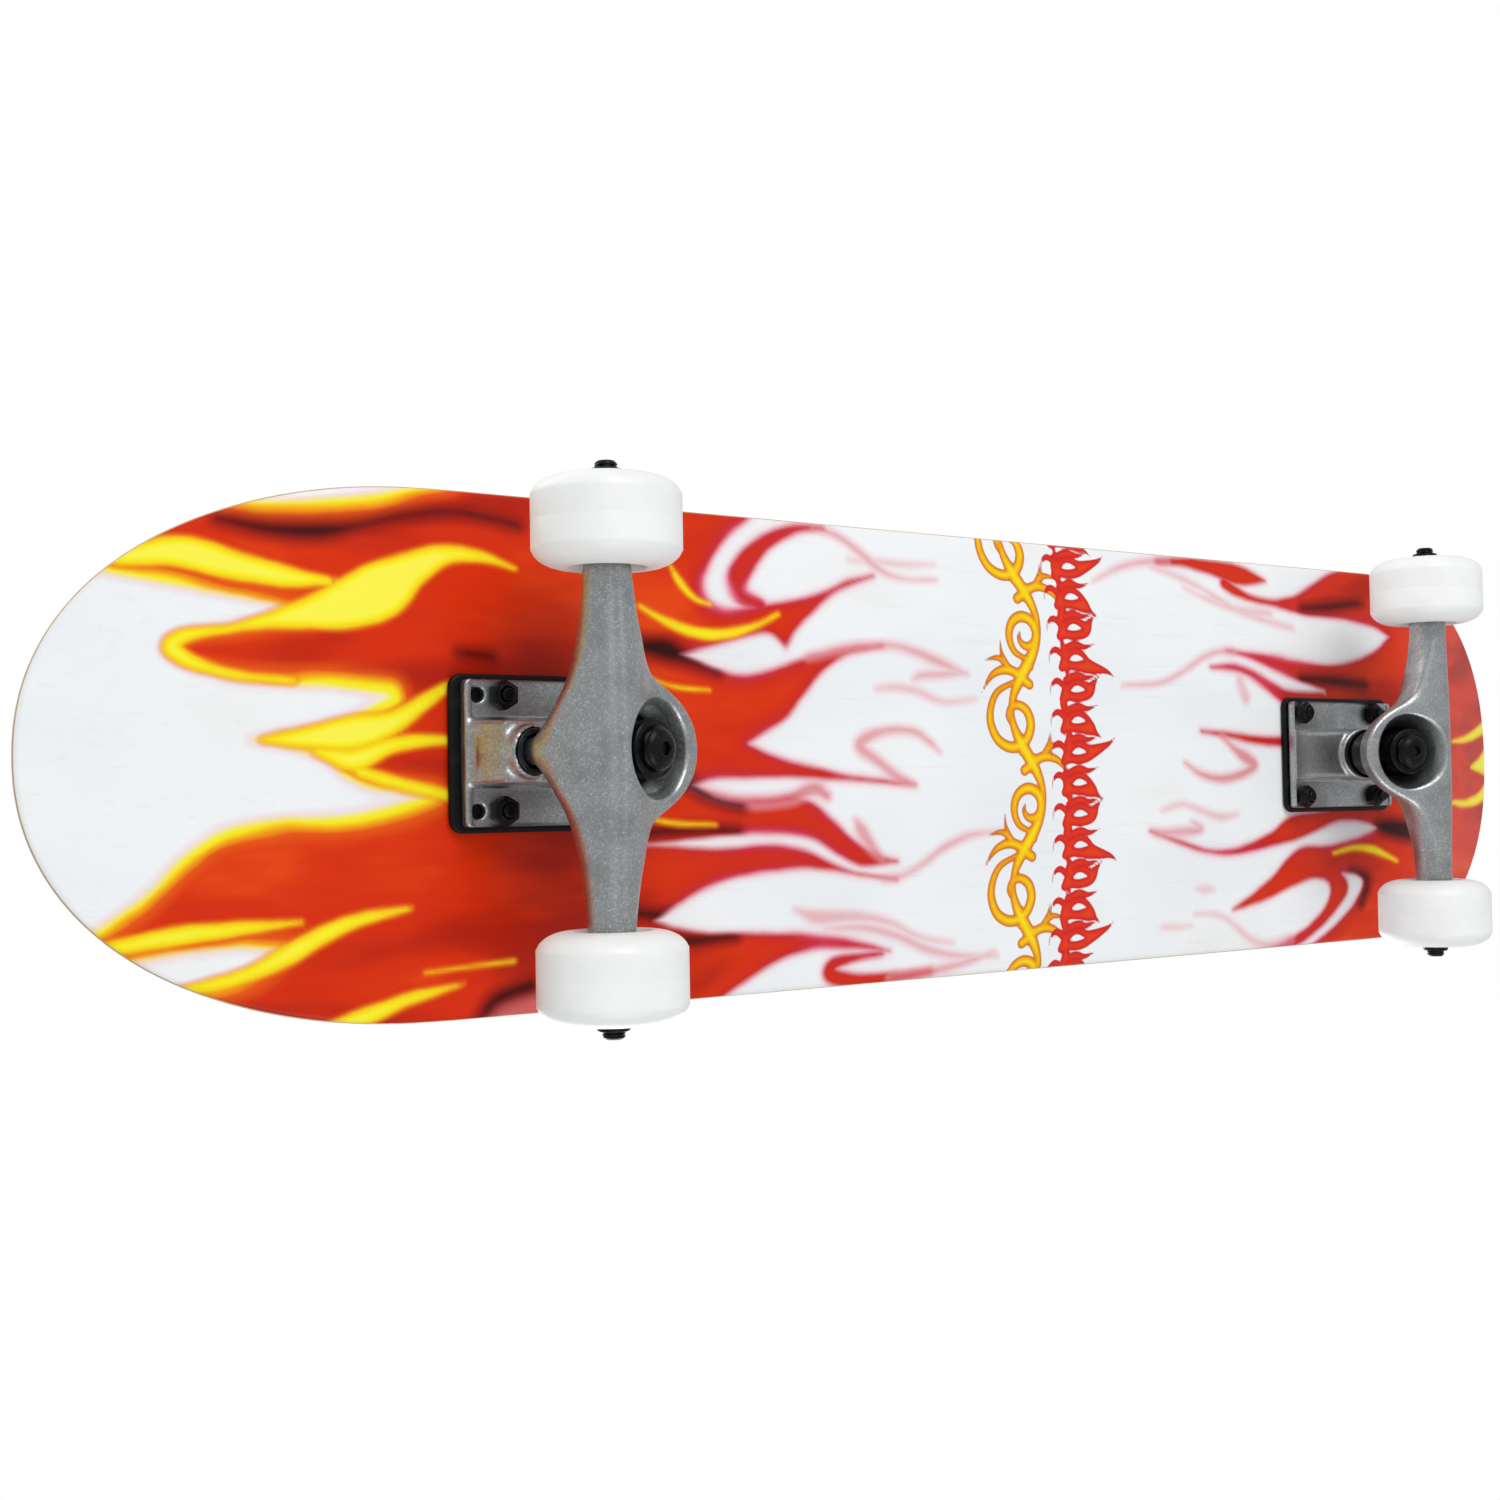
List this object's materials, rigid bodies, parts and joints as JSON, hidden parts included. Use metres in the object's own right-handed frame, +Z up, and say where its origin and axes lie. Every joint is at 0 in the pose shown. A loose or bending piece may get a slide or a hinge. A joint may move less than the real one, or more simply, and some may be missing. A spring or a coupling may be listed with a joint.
{
  "type": "skateboard",
  "caption": "Double-kick wooden skateboard, printed underside, grip tape on top, sprung kingpin trucks on riser pads, and white urethane wheels.",
  "frame": {"origin": "on the ground, midway between nose and tail, on the centre line", "axes": "+X to the nose, +Y to the left side of a board seen from above with the nose ahead, +Z up"},
  "size_m": [0.8, 0.1972, 0.1281],
  "materials": {
    "printed_maple": "maple plies with a glossy flame-printed underside",
    "griptape": "coarse black grit",
    "riser_rubber": "matte black pad",
    "cast_aluminium": "raw tumbled casting",
    "black_steel": "black oxide",
    "black_urethane": "satin urethane",
    "white_urethane": "semi-matte urethane",
    "bright_steel": "ground bearing steel"
  },
  "bodies": {
    "deck": {"deck": "printed_maple", "griptape": "griptape", "front_riser_pad": "riser_rubber", "front_baseplate": "cast_aluminium", "front_pivot_cup": "black_urethane", "front_kingpin": "black_steel", "front_kingpin_nut": "black_steel", "front_deck_side_washer": "black_steel", "front_road_side_washer": "black_steel", "front_deck_side_bushing": "black_urethane", "front_road_side_bushing": "black_urethane", "front_end_left_bolt": "black_steel", "front_end_left_bolt_nut": "black_steel", "front_end_right_bolt": "black_steel", "front_end_right_bolt_nut": "black_steel", "front_middle_left_bolt": "black_steel", "front_middle_left_bolt_nut": "black_steel", "front_middle_right_bolt": "black_steel", "front_middle_right_bolt_nut": "black_steel", "rear_riser_pad": "riser_rubber", "rear_baseplate": "cast_aluminium", "rear_pivot_cup": "black_urethane", "rear_kingpin": "black_steel", "rear_kingpin_nut": "black_steel", "rear_deck_side_washer": "black_steel", "rear_road_side_washer": "black_steel", "rear_deck_side_bushing": "black_urethane", "rear_road_side_bushing": "black_urethane", "rear_end_left_bolt": "black_steel", "rear_end_left_bolt_nut": "black_steel", "rear_end_right_bolt": "black_steel", "rear_end_right_bolt_nut": "black_steel", "rear_middle_left_bolt": "black_steel", "rear_middle_left_bolt_nut": "black_steel", "rear_middle_right_bolt": "black_steel", "rear_middle_right_bolt_nut": "black_steel"},
    "front_truck": {"front_hanger": "cast_aluminium", "front_axle": "black_steel", "front_left_bearing_sleeve": "bright_steel", "front_left_axle_nut": "black_steel", "front_right_bearing_sleeve": "bright_steel", "front_right_axle_nut": "black_steel"},
    "front_left_wheel": {"front_left_wheel": "white_urethane", "front_left_inner_bearing": "bright_steel", "front_left_outer_bearing": "bright_steel"},
    "front_right_wheel": {"front_right_wheel": "white_urethane", "front_right_inner_bearing": "bright_steel", "front_right_outer_bearing": "bright_steel"},
    "rear_truck": {"rear_hanger": "cast_aluminium", "rear_axle": "black_steel", "rear_left_bearing_sleeve": "bright_steel", "rear_left_axle_nut": "black_steel", "rear_right_bearing_sleeve": "bright_steel", "rear_right_axle_nut": "black_steel"},
    "rear_left_wheel": {"rear_left_wheel": "white_urethane", "rear_left_inner_bearing": "bright_steel", "rear_left_outer_bearing": "bright_steel"},
    "rear_right_wheel": {"rear_right_wheel": "white_urethane", "rear_right_inner_bearing": "bright_steel", "rear_right_outer_bearing": "bright_steel"}
  },
  "joints": [
    {"name": "front_steer", "type": "hinge", "parent": "deck", "child": "front_truck", "pos_m": [0.2159, 0, 0.04292], "axis": [0.8883, 0, 0.4593], "range_deg": [-12, 12], "stiffness_Nm_per_rad": 25, "deforming": ["front_deck_side_bushing", "front_road_side_bushing"]},
    {"name": "front_left_wheel_spin", "type": "hinge", "parent": "front_truck", "child": "front_left_wheel", "pos_m": [0.2274, 0.0775, 0.026], "axis": [0, 1, 0], "continuous": true},
    {"name": "front_right_wheel_spin", "type": "hinge", "parent": "front_truck", "child": "front_right_wheel", "pos_m": [0.2274, -0.0775, 0.026], "axis": [0, 1, 0], "continuous": true},
    {"name": "rear_steer", "type": "hinge", "parent": "deck", "child": "rear_truck", "pos_m": [-0.2159, 0, 0.04292], "axis": [-0.8883, 0, 0.4593], "range_deg": [-12, 12], "stiffness_Nm_per_rad": 25, "deforming": ["rear_deck_side_bushing", "rear_road_side_bushing"]},
    {"name": "rear_left_wheel_spin", "type": "hinge", "parent": "rear_truck", "child": "rear_left_wheel", "pos_m": [-0.2274, 0.0775, 0.026], "axis": [0, 1, 0], "continuous": true},
    {"name": "rear_right_wheel_spin", "type": "hinge", "parent": "rear_truck", "child": "rear_right_wheel", "pos_m": [-0.2274, -0.0775, 0.026], "axis": [0, 1, 0], "continuous": true}
  ]
}
